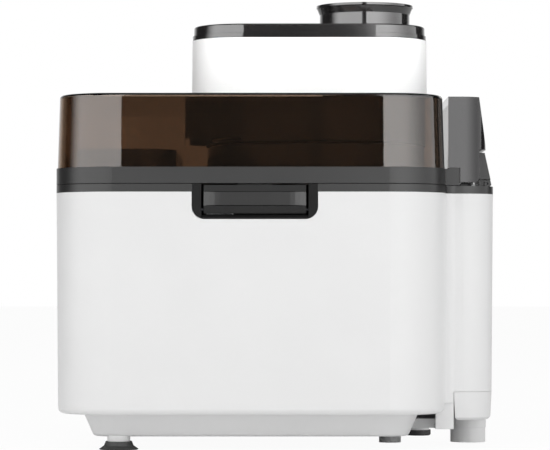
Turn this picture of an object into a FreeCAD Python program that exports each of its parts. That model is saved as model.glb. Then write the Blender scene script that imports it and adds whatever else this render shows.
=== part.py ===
"""Centrifugal juicer with a smoked lid, a side column with the juice outlet, and a pulp bin beside the basket.

Millimetres, +Z up, front at -Y, right at +X. The origin is on the worktop, under the middle of the whole object.
Every driving size is a cell of the sheet "Sizes". A Size keeps its cell formula beside its number, so that
sketches, features and placements are drawn at the right place and are bound to the same formula.
"""

import FreeCAD, Part
import os

import Sketcher

doc = FreeCAD.newDocument("juicer")
sheet = doc.addObject("Spreadsheet::Sheet", "Sizes")
pieces = []


class Size:
    """A length in mm with the sheet formula that gives it."""

    def __init__(self, value, text):
        self.value = value
        self.text = text

    def __add__(self, other):
        other = sized(other)
        return Size(self.value + other.value, f"({self.text} + {other.text})")

    def __radd__(self, other):
        return sized(other) + self

    def __sub__(self, other):
        other = sized(other)
        return Size(self.value - other.value, f"({self.text} - {other.text})")

    def __rsub__(self, other):
        return sized(other) - self

    def __mul__(self, other):
        other = sized(other)
        return Size(self.value * other.value, f"({self.text} * {other.text})")

    def __rmul__(self, other):
        return sized(other) * self

    def __truediv__(self, other):
        other = sized(other)
        return Size(self.value / other.value, f"({self.text} / {other.text})")

    def __neg__(self):
        return Size(-self.value, f"(0 - {self.text})")


def sized(number):
    """A plain number as a Size."""
    return number if isinstance(number, Size) else Size(float(number), f"{float(number):.6f}")


def cell(alias, value, meaning):
    """Writes one driving size into the sheet and returns it."""
    row = cell.row
    cell.row += 1
    sheet.set(f"A{row}", meaning)
    sheet.set(f"B{row}", str(value))
    sheet.setAlias(f"B{row}", alias)
    return Size(float(value), f"Sizes.{alias}")


cell.row = 1

# ---- driving sizes ------------------------------------------------------------------------------------------
body_w = cell("body_w", 326, "width of the body, without the side column")
body_d = cell("body_d", 290, "depth of the body")
corner_r = cell("corner_r", 49, "corner radius of the body in plan")
wall = cell("wall", 3, "wall of the outer mouldings")
draft = cell("draft", 0.5, "draft of the body's sides, degrees")
fit_gap = cell("fit_gap", 0.4, "gap between mouldings that fit in each other")
seam = cell("seam", 0.15, "gap at a seam that shows")
column_blend = cell("column_blend", 9, "hollow radius where the column meets the body")
column_out = cell("column_out", 42, "how far the side column stands out of the body")
column_d = cell("column_d", 128, "depth of the side column")
column_r = cell("column_r", 27, "outer corner radius of the column")

plinth_z = cell("plinth_z", 11, "height of the plinth's underside")
column_z = cell("column_z", 16, "height of the column's underside")
step_z = cell("step_z", 30, "height of the shell's lower edge")
shell_top = cell("shell_top", 213.5, "height of the shell's upper edge")
split_z = cell("split_z", 220, "height where the lid meets the deck")
band_top = cell("band_top", 234, "height of the lid frame's top")
lid_top = cell("lid_top", 295, "height of the lid's flat top")
shroud_top = cell("shroud_top", 349, "height of the chute shroud's top")
tray_top = cell("tray_top", 361, "height of the feed tray's rim")
pusher_top = cell("pusher_top", 380, "height of the pusher's flange")

plinth_in = cell("plinth_in", 23, "inset of the plinth at its top")
plinth_taper = cell("plinth_taper", 24, "slope of the plinth's sides, degrees")
plinth_lip = cell("plinth_lip", 6, "flange of the plinth inside the shell")

axis_x = cell("axis_x", 57, "spindle axis, right of the body's middle")
bowl_r = cell("bowl_r", 96, "outer radius of the juice bowl")
bowl_z = cell("bowl_z", 190, "underside of the juice bowl")
bowl_top = cell("bowl_top", 256, "rim of the juice bowl")
thin = cell("thin", 2.5, "wall of the inner mouldings")
basket_z = cell("basket_z", 216, "underside of the basket's base")
basket_top = cell("basket_top", 262, "underside of the basket's rim")
basket_in = cell("basket_in", 22, "how much smaller in radius the basket's base is than the bowl")
basket_flare = cell("basket_flare", 15, "how much wider the basket is at its rim")
sheet_t = cell("sheet_t", 0.8, "sheet steel of the basket")
chute_in = cell("chute_in", 15.2, "gap from the chute's wall to the bowl's outside")
chute_bore = cell("chute_bore", 37, "inner radius of the feed chute")
chute_wall = cell("chute_wall", 2.4, "wall of the feed chute")
chute_z = cell("chute_z", 243, "lower end of the feed chute")
pusher_gap = cell("pusher_gap", 0.7, "gap round the pusher in the chute")
flange_t = cell("flange_t", 2.6, "thickness of the pusher's flange")
flange_r = cell("flange_r", 42.2, "radius of the pusher's flange")

pod_r = cell("pod_r", 24, "corner radius of the pod")
shroud_w = cell("shroud_w", 205, "width of the chute shroud")
shroud_d = cell("shroud_d", 100, "depth of the chute shroud")
shroud_x = cell("shroud_x", 50, "middle of the shroud, right of the body's middle")
shroud_r = cell("shroud_r", 46, "corner radius of the shroud")

vent_w = cell("vent_w", 3, "width of a cooling slot")
vent_h = cell("vent_h", 38, "height of a cooling slot")
vent_z = cell("vent_z", 58, "height where the cooling slots start")
vent_step = cell("vent_step", 7.5, "spacing of the cooling slots")
vent_count = 9

spout_y = cell("spout_y", -30, "juice outlet, along Y")
spout_x = cell("spout_x", 23, "juice outlet, right of the body's side")
nozzle_r = cell("nozzle_r", 15, "outer radius of the juice nozzle")
nozzle_bore = cell("nozzle_bore", 12.6, "bore of the juice nozzle")
nozzle_z = cell("nozzle_z", 2, "height of the nozzle's mouth")
block_z = cell("block_z", 23.6, "underside of the spout block")
block_top = cell("block_top", 47.3, "top of the spout block")
duct_bore = cell("duct_bore", 10.9, "inner radius of the duct in the column")
duct_wall = cell("duct_wall", 1.7, "wall of the duct")
downspout_r = cell("downspout_r", 9.4, "outer radius of the bowl's downspout")

bin_left = cell("bin_left", 16, "gap from the body's side to the pulp bin")
bin_w = cell("bin_w", 84, "width of the pulp bin")
bin_d = cell("bin_d", 236, "depth of the pulp bin, front to rear")
bin_z = cell("bin_z", 38, "underside of the pulp bin")
bin_top = cell("bin_top", 250, "rim of the pulp bin")

latch_x = cell("latch_x", 3.5, "latch, right of the body's middle")
bracket_w = cell("bracket_w", 103, "width of the latch bracket")
bracket_z = cell("bracket_z", 191.4, "lower edge of the latch bracket")
bracket_r = cell("bracket_r", 10, "lower corners of the latch bracket")
recess_w = cell("recess_w", 88, "width of the latch recess")
recess_z = cell("recess_z", 194.4, "floor of the latch recess")
recess_d = cell("recess_d", 19, "depth of the latch recess")
paddle_w = cell("paddle_w", 84, "width of the latch paddle")
paddle_proud = cell("paddle_proud", 3, "how far the paddle stands out")

hinge_y = cell("hinge_y", 6, "hinge axis behind the body's rear")
hinge_r = cell("hinge_r", 5, "radius of the hinge knuckles")
hinge_pin_r = cell("hinge_pin_r", 2, "radius of the hinge pins")
hinge_x = cell("hinge_x", 95, "hinges, left and right of the body's middle")

foot_x = cell("foot_x", 110, "left feet, from the body's middle")
foot_y = cell("foot_y", 108, "front and rear feet, from the middle")
switch_w = cell("switch_w", 60, "length of the switch paddle, front to rear")
switch_pin_r = cell("switch_pin_r", 0.8, "radius of the switch pin")
latch_pin_r = cell("latch_pin_r", 1.5, "radius of the latch pin")
plunger_r = cell("plunger_r", 2.2, "radius of the interlock plunger")
base_screw_r = cell("base_screw_r", 1.8, "radius of the base screws")
cup_r = cell("cup_r", 16.4, "radius of the suction cups")
cup_h = cell("cup_h", 7, "height of the suction cups")
rear_foot_r = cell("rear_foot_r", 11.6, "radius of the rear right foot")
pad_h = cell("pad_h", 4.5, "height of the rear right foot's pad")
stem_r = cell("stem_r", 9.5, "radius of the foot stems")
shaft_r = cell("shaft_r", 4, "radius of the motor shaft")
stator_w = cell("stator_w", 84, "side of the stator stack")
stator_z = cell("stator_z", 100, "underside of the stator stack")
stator_h = cell("stator_h", 46, "height of the stator stack")

# ---- places worked out from them ----------------------------------------------------------------------------
# Outlines are drawn about the spindle axis, on the body's middle in Y; home is where that point lies.
home = (axis_x - column_out / 2, (paddle_proud - hinge_y - hinge_r) / 2, sized(0))
mid = -axis_x
left = mid - body_w / 2
right = mid + body_w / 2
front = -body_d / 2
rear = body_d / 2
column_y0 = spout_y - column_d / 2
column_y1 = column_y0 + column_d
duct_x = right + spout_x
basket_r = bowl_r - basket_in
chute_off = bowl_r - chute_in - chute_wall - chute_bore
latch_mid = mid + latch_x
shell_in = wall + 1.6
rear_foot_x = right - 13
rear_foot_y = rear - 44
bin_x = left + bin_left
pin_y = front + 3.4
pin_z = recess_z + 4.4
plunger_x = right + 24
plunger_y = spout_y - 45
switch_y = spout_y + 25
base_screw_spots = ((-150, -80), (-150, 80), (46, -80), (46, 80))


# ---- drawing helpers ----------------------------------------------------------------------------------------
def bind(thing, path, size):
    """Binds one property of an object to a size."""
    if isinstance(size, Size):
        thing.setExpression(path, size.text)


def kept(thing, name):
    """Marks a document object as a sub-part with its own label."""
    thing.Label = name
    pieces.append(thing)
    return thing


def place(thing, at, turn=None):
    """Puts a body or a Part primitive at a point counted from home, turned about one axis."""
    spot = [a + b for a, b in zip(home, at)]
    rotation = FreeCAD.Rotation(*turn) if turn else FreeCAD.Rotation()
    thing.Placement = FreeCAD.Placement(FreeCAD.Vector(*[size.value for size in spot]), rotation)
    for axis, size in zip("xyz", spot):
        bind(thing, f".Placement.Base.{axis}", size)
    return thing


def body(name, at=(0, 0, 0), turn=None, keep=True):
    """A PartDesign body, placed at a point counted from home."""
    made = place(doc.addObject("PartDesign::Body", name), at, turn)
    return kept(made, name) if keep else made


def sketch(owner, plane, level=0):
    """An empty sketch on one of the body's origin planes, moved along its normal by level."""
    made = owner.newObject("Sketcher::SketchObject", owner.Name + "_outline")
    support = next(item for item in owner.Origin.OriginFeatures if item.Role == plane)
    made.AttachmentSupport = [(support, "")]
    made.MapMode = "FlatFace"
    made.AttachmentOffset = FreeCAD.Placement(FreeCAD.Vector(0, 0, sized(level).value), FreeCAD.Rotation())
    if isinstance(level, Size):
        bind(made, ".AttachmentOffset.Base.z", level)
    return made


def hold(drawing, kind, place, size):
    """Adds one dimension to a sketch and binds it."""
    index = drawing.addConstraint(Sketcher.Constraint(kind, *place, size.value))
    bind(drawing, f"Constraints[{index}]", size)


def pin_point(drawing, geometry, vertex, point):
    """Fixes a vertex of a sketch by its two coordinates."""
    for kind, size in zip(("DistanceX", "DistanceY"), point):
        hold(drawing, kind, (-1, 1, geometry, vertex), sized(size))


def direction(start, end):
    """Unit step along an axis-aligned side."""
    step = [sized(b).value - sized(a).value for a, b in zip(start, end)]
    length = max(abs(step[0]), abs(step[1]))
    return [round(part / length) for part in step]


def loop(drawing, corners):
    """Closed outline. A corner is (x, y), or (x, y, r) where two axis-aligned sides meet with a radius r."""
    path = []
    count = len(corners)
    for number, corner in enumerate(corners):
        point = [sized(corner[0]), sized(corner[1])]
        if len(corner) == 2:
            path.append((point, None, None))
            continue
        radius = sized(corner[2])
        before = direction(corners[number - 1], corner)
        after = direction(corner, corners[(number + 1) % count])
        start = [a - radius * b for a, b in zip(point, before)]
        end = [a + radius * b for a, b in zip(point, after)]
        centre = [a - radius * b + radius * c for a, b, c in zip(point, before, after)]
        turn = before[0] * after[1] - before[1] * after[0]
        path.append((start, (centre, radius, turn), end))
    stops = []
    for start, arc, end in path:
        stops.append((start, arc))
        if arc:
            stops.append((end, None))
    first = drawing.GeometryCount
    total = len(stops)
    starts = []
    for number, (start, arc) in enumerate(stops):
        finish = stops[(number + 1) % total][0]
        a = FreeCAD.Vector(start[0].value, start[1].value, 0)
        b = FreeCAD.Vector(finish[0].value, finish[1].value, 0)
        if arc is None:
            drawing.addGeometry(Part.LineSegment(a, b))
            starts.append((1, 2))
            continue
        centre, radius, turn = arc
        middle = FreeCAD.Vector(centre[0].value, centre[1].value, 0)
        circle = Part.Circle(middle, FreeCAD.Vector(0, 0, 1), radius.value)
        angles = [circle.parameter(p) for p in (a, b)]
        if turn < 0:
            angles.reverse()
        if angles[1] < angles[0]:
            angles[1] += 6.283185307179586
        drawing.addGeometry(Part.ArcOfCircle(circle, *angles))
        starts.append((1, 2) if turn > 0 else (2, 1))
    for number, (start, arc) in enumerate(stops):
        geometry = first + number
        following = first + (number + 1) % total
        pin_point(drawing, geometry, starts[number][0], start)
        drawing.addConstraint(
            Sketcher.Constraint(
                "Coincident", geometry, starts[number][1], following, starts[(number + 1) % total][0]
            )
        )
        if arc:
            hold(drawing, "Radius", (geometry,), arc[1])
    return drawing


def ring(drawing, x, y, radius):
    """A full circle."""
    radius = sized(radius)
    middle = FreeCAD.Vector(sized(x).value, sized(y).value, 0)
    geometry = drawing.addGeometry(Part.Circle(middle, FreeCAD.Vector(0, 0, 1), radius.value))
    pin_point(drawing, geometry, 3, (x, y))
    hold(drawing, "Radius", (geometry,), radius)
    return drawing


def rounded(x0, x1, y0, y1, r):
    """Corners of a rectangle with one radius."""
    return [(x0, y0, r), (x1, y0, r), (x1, y1, r), (x0, y1, r)]


def box_corners(x0, x1, y0, y1):
    """Corners of a plain rectangle."""
    return [(x0, y0), (x1, y0), (x1, y1), (x0, y1)]


def body_plan(inset):
    """The body's outline in plan, inset by a distance."""
    return rounded(left + inset, right - inset, front + inset, rear - inset, corner_r - inset)


def column_plan(inset, root=30):
    """The column's outline in plan, running back into the body by root."""
    x0 = right - root
    x1 = right + column_out - inset
    y0 = column_y0 + inset
    y1 = column_y1 - inset
    r = column_r - inset
    return [(x0, y0), (x1, y0, r), (x1, y1, r), (x0, y1)]


def blended_plan(inset):
    """The column's outline in plan with a hollow curve where it leaves the body's side."""
    x0 = right - 30
    x1 = right + column_out - inset
    side = right - 0.7 - inset
    y0 = column_y0 + inset
    y1 = column_y1 - inset
    r = column_r - inset
    hollow = column_blend + inset
    edge = hollow + 0.5
    return [
        (x0, y0 - edge), (side, y0 - edge), (side, y0, hollow), (x1, y0, r),
        (x1, y1, r), (side, y1, hollow), (side, y1 + edge), (x0, y1 + edge),
    ]


def shroud_plan(inset):
    """The chute shroud's outline in plan."""
    x = mid + shroud_x
    return rounded(
        x - shroud_w / 2 + inset, x + shroud_w / 2 - inset, -shroud_d / 2 + inset, shroud_d / 2 - inset,
        shroud_r - inset,
    )


def feature(owner, kind, drawing, length=None, taper=None, reverse=False, through=False):
    """A Pad or Pocket of a sketch."""
    made = owner.newObject(f"PartDesign::{kind}", f"{owner.Name}_{kind}")
    made.Profile = drawing
    if through:
        made.Type = "ThroughAll"
    else:
        made.Length = sized(length).value
        bind(made, "Length", sized(length))
    if taper is not None:
        made.TaperAngle = sized(taper).value
        bind(made, "TaperAngle", sized(taper))
    made.Reversed = reverse
    drawing.Visibility = False
    return made


def pad(owner, plane, level, height, draw, taper=None, reverse=False):
    """Adds a prism between two levels. draw puts the outline in the sketch."""
    drawing = sketch(owner, plane, level)
    draw(drawing)
    return feature(owner, "Pad", drawing, height, taper, reverse)


def cut(owner, plane, level, height, draw, taper=None, reverse=True):
    """Takes a prism away. On XY it is cut upwards from the level unless reverse is off."""
    drawing = sketch(owner, plane, level)
    draw(drawing)
    return feature(owner, "Pocket", drawing, height, taper, reverse)


def outline(corners):
    """A drawing step that draws one closed outline."""
    return lambda drawing: loop(drawing, corners)


def disc(x, y, radius):
    """A drawing step that draws one circle."""
    return lambda drawing: ring(drawing, x, y, radius)


def turned(name, profile, at=(0, 0, 0), turn=None, keep=True):
    """A body of revolution about Z through a point, from (radius, height) corners."""
    made = body(name, at, turn, keep)
    drawing = sketch(made, "XZ_Plane")
    loop(drawing, profile)
    spun = made.newObject("PartDesign::Revolution", name + "_turned")
    spun.Profile = drawing
    spun.ReferenceAxis = (drawing, ["V_Axis"])
    spun.Angle = 360
    drawing.Visibility = False
    return made


def soften(owner, radius, test, kind="Fillet"):
    """Fillets or chamfers the edges of the body that pass a test."""
    doc.recompute()
    tip = owner.Tip
    names = [f"Edge{n + 1}" for n, edge in enumerate(tip.Shape.Edges) if test(edge)]
    made = owner.newObject(f"PartDesign::{kind}", f"{owner.Name}_{kind}")
    made.Base = (tip, names)
    prop = "Radius" if kind == "Fillet" else "Size"
    setattr(made, prop, sized(radius).value)
    bind(made, prop, sized(radius))
    return made


def spread(owner, original, count):
    """Repeats a feature round the body's own Z axis."""
    made = owner.newObject("PartDesign::PolarPattern", owner.Name + "_pattern")
    made.Originals = [original]
    axis = next(item for item in owner.Origin.OriginFeatures if item.Role == "Z_Axis")
    made.Axis = (axis, [""])
    made.Angle = 360
    made.Occurrences = count
    owner.Tip = made
    return made


def at_height(edge, z, slack=0.05):
    """True if an edge lies level at a height."""
    box = edge.BoundBox
    return abs(box.ZMin - z) < slack and abs(box.ZMax - z) < slack


ALONG_X = (FreeCAD.Vector(0, 1, 0), 90)
AGAINST_Y = (FreeCAD.Vector(1, 0, 0), 90)


def rod(name, radius, length, at, turn=None):
    """A round bar: a Part cylinder."""
    made = doc.addObject("Part::Cylinder", name)
    bind(made, "Radius", sized(radius))
    bind(made, "Height", sized(length))
    return place(made, at, turn)


def block(name, sizes, at):
    """A square block from its lowest corner."""
    made = doc.addObject("Part::Box", name)
    for prop, size in zip(("Length", "Width", "Height"), sizes):
        bind(made, prop, sized(size))
    return place(made, at)


def less(name, base, tool):
    """Base with tool cut away."""
    made = doc.addObject("Part::Cut", name)
    made.Base = base
    made.Tool = tool
    return made


def joined(name, shapes):
    """Several shapes fused in one."""
    made = doc.addObject("Part::MultiFuse", name)
    made.Shapes = shapes
    return made


def group(name, shapes):
    """Several separate solids in one node."""
    made = doc.addObject("Part::Compound", name)
    made.Links = shapes
    return kept(made, name)


def tube(name, outer, inner, length, at, turn=None):
    """A round bar with a bore."""
    return less(name, rod(name + "_out", outer, length, at, turn), rod(name + "_in", inner, length, at, turn))


# ---- body shell ---------------------------------------------------------------------------------------------
def vents(drawing):
    """The row of upright cooling slots in the rear wall."""
    for number in range(vent_count):
        x = mid + 8 + number * vent_step
        loop(drawing, box_corners(x, x + vent_w, vent_z, vent_z + vent_h))


def make_shell():
    """White outer moulding: drafted box with rounded corners and the side column, hollow, open above."""
    shell = body("housing_shell")
    pad(shell, "XY_Plane", shell_top, shell_top - step_z, outline(body_plan(sized(0))), -draft, True)
    soften(shell, 5, lambda e: at_height(e, step_z.value))
    pad(shell, "XY_Plane", shell_top, shell_top - column_z, outline(column_plan(sized(0), 10)), -draft, True)
    pad(shell, "XY_Plane", shell_top, shell_top - step_z - 8, outline(blended_plan(sized(0))), -draft, True)
    cut(shell, "XY_Plane", step_z + wall, shell_top, outline(body_plan(shell_in)))
    cut(shell, "XY_Plane", column_z + wall, shell_top, outline(column_plan(shell_in, 34)))
    cut(shell, "XY_Plane", column_z - 5, 40, outline(body_plan(plinth_in - fit_gap)))
    foot = box_corners(right - 40, right + 1.4, spout_y - 37, spout_y + 37)
    cut(shell, "XY_Plane", column_z - 5, 12, outline(foot))
    side = box_corners(right + 6.9 - seam, right + column_out + 5, column_y0 - 5, column_y1 + 5)
    cut(shell, "XY_Plane", column_z - 5, block_top - column_z + 5, outline(side))
    half = bracket_w / 2 + fit_gap
    low = bracket_z - fit_gap
    r = bracket_r + fit_gap
    notch = [
        (latch_mid - half, low, r),
        (latch_mid + half, low, r),
        (latch_mid + half, shell_top + 5),
        (latch_mid - half, shell_top + 5),
    ]
    cut(shell, "XZ_Plane", -front - 15, 20, outline(notch), None, True)
    inlet = box_corners(left + 59.8, left + 89.2, sized(61.8), sized(86.2))
    cut(shell, "XZ_Plane", -rear - 5, 20, outline(inlet), None, True)
    cut(shell, "XZ_Plane", -rear - 5, 20, vents, None, True)


def make_plinth():
    """White base tray under the shell, with foot stems and cooling slots under the motor."""
    plinth = body("base_plinth")
    depth = step_z - plinth_z
    low_in = plinth_in + depth * 0.4452
    pad(plinth, "XY_Plane", plinth_z, depth, outline(body_plan(low_in)), plinth_taper)
    soften(plinth, 3.5, lambda e: at_height(e, plinth_z.value))
    pad(plinth, "XY_Plane", step_z, wall + fit_gap, outline(body_plan(plinth_in)))
    pad(plinth, "XY_Plane", step_z + wall + fit_gap, 2.5, outline(body_plan(plinth_in - plinth_lip)))
    foot = box_corners(right - 50, right + 1, spout_y - 36, spout_y + 36)
    pad(plinth, "XY_Plane", column_z - 0.4, 8, outline(foot))
    cut(plinth, "XY_Plane", plinth_z + wall, 60, outline(body_plan(low_in + wall)))
    inside = box_corners(right - 42, right - 2, spout_y - 33, spout_y + 33)
    cut(plinth, "XY_Plane", column_z + 2.6, 5, outline(inside))
    for y in (-foot_y, foot_y):
        pad(plinth, "XY_Plane", cup_h - 2, plinth_z - cup_h + 3, disc(mid - foot_x, y, stem_r))
    pad(plinth, "XY_Plane", sized(0), plinth_z + 1, disc(mid + foot_x + 10, sized(-6), stem_r))
    pad(plinth, "XY_Plane", pad_h - 1, step_z - pad_h + 0.6, disc(rear_foot_x, rear_foot_y, rear_foot_r - 1.5))
    web = box_corners(rear_foot_x - 22, rear_foot_x, rear_foot_y - 8, rear_foot_y + 8)
    pad(plinth, "XY_Plane", plinth_z + 0.5, step_z - plinth_z - 0.9, outline(web))
    for x, y in base_screw_spots:
        pad(plinth, "XY_Plane", plinth_z + 2, 13, disc(x, y, sized(6)))
        cut(plinth, "XY_Plane", plinth_z - 1, 3.2, disc(x, y, sized(4.3)))
        cut(plinth, "XY_Plane", plinth_z - 1, 30, disc(x, y, base_screw_r + 0.05))
    slot = box_corners(sized(16), sized(38), sized(-2.2), sized(2.2))
    vent = cut(plinth, "XY_Plane", plinth_z - 1, 10, outline(slot))
    spread(plinth, vent, 14)


# ---- deck ---------------------------------------------------------------------------------------------------
def make_deck():
    """Dark rim and deck: band round the body, latch bracket, bowl well, bin opening and hinge knuckles."""
    deck = body("deck_frame")
    band = split_z - shell_top
    skin = split_z - wall
    pad(deck, "XY_Plane", shell_top, band, outline(body_plan(sized(0))))
    pad(deck, "XY_Plane", shell_top, band, outline(blended_plan(sized(0))))
    pad(deck, "XY_Plane", shell_top - 4, 4, outline(body_plan(shell_in + fit_gap)))
    cut(deck, "XY_Plane", shell_top - 6, skin - shell_top + 6, outline(body_plan(shell_in + wall)))
    pad(deck, "XY_Plane", bowl_z - 4, skin - bowl_z + 5, disc(sized(0), sized(0), bowl_r + 1 + thin))
    slot_out = box_corners(bowl_r - 5, duct_x + 13.5, spout_y - 16.5, spout_y + 16.5)
    pad(deck, "XY_Plane", bowl_z - 4, skin - bowl_z + 5, outline(slot_out))
    for side in (-1, 1):
        for reach in (-15, 15):
            x = mid + hinge_x * side + reach
            pad(deck, "YZ_Plane", x - 5, 10, disc(rear + hinge_y, split_z, hinge_r))
            arm = box_corners(rear - 4, rear + hinge_y, shell_top + 0.5, split_z - 0.5)
            pad(deck, "YZ_Plane", x - 5, 10, outline(arm))
    cut(deck, "XY_Plane", bowl_z, 60, disc(sized(0), sized(0), bowl_r + 1))
    cut(deck, "XY_Plane", bowl_z - 10, 60, disc(sized(0), sized(0), sized(15)))
    slot_in = box_corners(bowl_r - 12, duct_x + 11.5, spout_y - 14.5, spout_y + 14.5)
    cut(deck, "XY_Plane", bowl_z, 60, outline(slot_in))
    cut(deck, "XY_Plane", bowl_z - 10, 60, disc(duct_x, spout_y, downspout_r + 0.3))
    ring_out = rounded(bin_x - 4, bin_x + bin_w + 4, -bin_d / 2 - 4, bin_d / 2 + 4, sized(36))
    pad(deck, "XY_Plane", skin - 6, 7, outline(ring_out))
    hole = rounded(bin_x - 1.5, bin_x + bin_w + 1.5, -bin_d / 2 - 1.5, bin_d / 2 + 1.5, sized(33.5))
    cut(deck, "XY_Plane", shell_top - 10, 60, outline(hole))
    gate = box_corners(latch_mid - bracket_w / 2 - seam, latch_mid + bracket_w / 2 + seam, bracket_z, split_z + 5)
    cut(deck, "XZ_Plane", -front - recess_d - thin - seam, recess_d + 10, outline(gate), None, True)
    for side in (-1, 1):
        bore = disc(rear + hinge_y, split_z, hinge_pin_r + 0.05)
        cut(deck, "YZ_Plane", mid + hinge_x * side - 25, 50, bore, None, True)
    cut(deck, "XY_Plane", shell_top - 10, 40, disc(plunger_x, plunger_y, plunger_r + 0.3))
    slot = box_corners(right + 30, right + 37, switch_y - 5, switch_y + 5)
    cut(deck, "XY_Plane", shell_top - 10, 40, outline(slot))
    rib = box_corners(right + 14, right + 29, column_y0 + 30, column_y0 + 33)
    pad(deck, "XY_Plane", split_z - 1, 3.8, outline(rib))
    for y in (switch_y + 5.7, switch_y + 6 - switch_w + 3.2):
        ear = box_corners(right + 35.5, right + 40, y - 2.9, y)
        pad(deck, "XY_Plane", split_z - 1, 5.6, outline(ear))
    bore = disc(right + 38, split_z + fit_gap + 2.6, switch_pin_r + 0.02)
    cut(deck, "XZ_Plane", -switch_y - 16, switch_w + 30, bore, None, True)


# ---- lid ----------------------------------------------------------------------------------------------------
def make_lid():
    """Lid frame, smoked cover, side cover, the chamber cover under it, and its seal."""
    low = split_z + fit_gap
    frame = body("lid_frame")
    pad(frame, "XY_Plane", low, band_top - low, outline(body_plan(sized(0))))
    for y in (column_y0, column_y1 - 10):
        pad(frame, "XY_Plane", low, band_top - low, outline(box_corners(right - 6, right + 12, y, y + 10)))
        pad(frame, "XY_Plane", band_top, 1, outline(box_corners(right + 2, right + 12, y, y + 10)))
    for side in (-1, 1):
        x = mid + hinge_x * side
        pad(frame, "YZ_Plane", x - 9.7, 19.4, disc(rear + hinge_y, split_z, hinge_r))
        arm = box_corners(rear - 4, rear + hinge_y, low + 0.2, split_z + hinge_r)
        pad(frame, "YZ_Plane", x - 9.7, 19.4, outline(arm))
    cut(frame, "XY_Plane", split_z - 10, 60, outline(body_plan(wall + 2)))
    for side in (-1, 1):
        x = mid + hinge_x * side
        cut(frame, "YZ_Plane", x - 25, 50, disc(rear + hinge_y, split_z, hinge_pin_r + 0.05), None, True)
    tongue = box_corners(latch_mid - 14, latch_mid + 14, front + 10, front + 13)
    pad(frame, "XY_Plane", recess_z + 8, band_top - recess_z - 8, outline(tongue))
    bridge = box_corners(latch_mid - 14, latch_mid + 14, front + 2, front + 13)
    pad(frame, "XY_Plane", low, 5, outline(bridge))

    cover = body("lid_shell")
    height = lid_top - band_top
    pad(cover, "XY_Plane", band_top, height, outline(body_plan(sized(0.9))), -1.8)
    soften(cover, 2.5, lambda e: at_height(e, lid_top.value))
    cut(cover, "XY_Plane", band_top - 1, height - wall + 1, outline(body_plan(wall + 0.87)), -1.8)
    cut(cover, "XY_Plane", lid_top - 10, 20, disc(chute_off, sized(0), chute_bore + chute_wall + fit_gap / 4))

    pod = body("lid_pod")
    x0 = right + 2.5
    x1 = right + 12.4
    notch = band_top + 1 + fit_gap / 2
    shape = [
        (x0, notch),
        (x1, notch),
        (x1, split_z + 3.2),
        (right + 29.4, split_z + 3.2, 5),
        (right + 29.4, band_top + 17),
        (right + 35.6, band_top + 17),
        (right + 29, lid_top),
        (x0, lid_top),
    ]
    pad(pod, "XZ_Plane", -column_y0, column_d, outline(shape), None, True)
    hollow = [
        (x0 + 2.5, notch - 1),
        (x0 + 2.5, lid_top - 2.5),
        (right + 26.8, lid_top - 2.5),
        (right + 32.5, band_top + 19.5),
        (right + 26.9, band_top + 19.5),
        (right + 26.9, split_z + 1),
        (x1 + 2.5, split_z + 1),
        (x1 + 2.5, notch - 1),
    ]
    x2 = right + 35.6
    for y, out in ((column_y0, -1), (column_y1, 1)):
        waste = [
            (x2 + 1, y + out), (x2 + 1, y - out * (pod_r + 1)), (x2, y - out * (pod_r + 1)), (x2, y, pod_r),
            (x2 - pod_r - 1, y), (x2 - pod_r - 1, y + out),
        ]
        cut(pod, "XY_Plane", split_z, lid_top, outline(waste))
    cut(pod, "XZ_Plane", -column_y1 + pod_r, column_d - 2 * pod_r, outline(hollow), None, True)
    middle = box_corners(x1 + 2.5, right + 25, split_z + 8, lid_top - 2.5)
    cut(pod, "XZ_Plane", -column_y1 + 8, column_d - 16, outline(middle), None, True)
    narrow = box_corners(x0 + 2.5, right + 11, notch - 1, lid_top - 2.5)
    cut(pod, "XZ_Plane", -column_y1 + 2.5, column_d - 5, outline(narrow), None, True)

    guard = body("chamber_cover")
    top = lid_top - wall - 0.2
    base = bowl_top + 2.6
    spill = box_corners(mid - 56, sized(0), sized(-74), sized(74))
    pad(guard, "XY_Plane", base, top - base, disc(sized(0), sized(0), bowl_r + 1))
    pad(guard, "XY_Plane", base + 3, top - base - 3, outline(spill))
    inner = box_corners(mid - 56 + thin, sized(0), sized(-74) + thin, sized(74) - thin)
    cut(guard, "XY_Plane", base - 1, top - base - 1.5, disc(sized(0), sized(0), bowl_r + 1 - thin))
    cut(guard, "XY_Plane", base - 1, top - base - 1.5, outline(inner))
    cut(guard, "XY_Plane", lid_top - 20, 30, disc(chute_off, sized(0), chute_bore + chute_wall + 0.1))
    window = box_corners(sized(-50), sized(50), base + 1, top - 7)
    cut(guard, "YZ_Plane", mid - 60, 20, outline(window), None, True)
    kept(tube("lid_seal", bowl_r + 1, bowl_r - 1.6, 1.6, (0, 0, bowl_top + 1)), "lid_seal")


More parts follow.
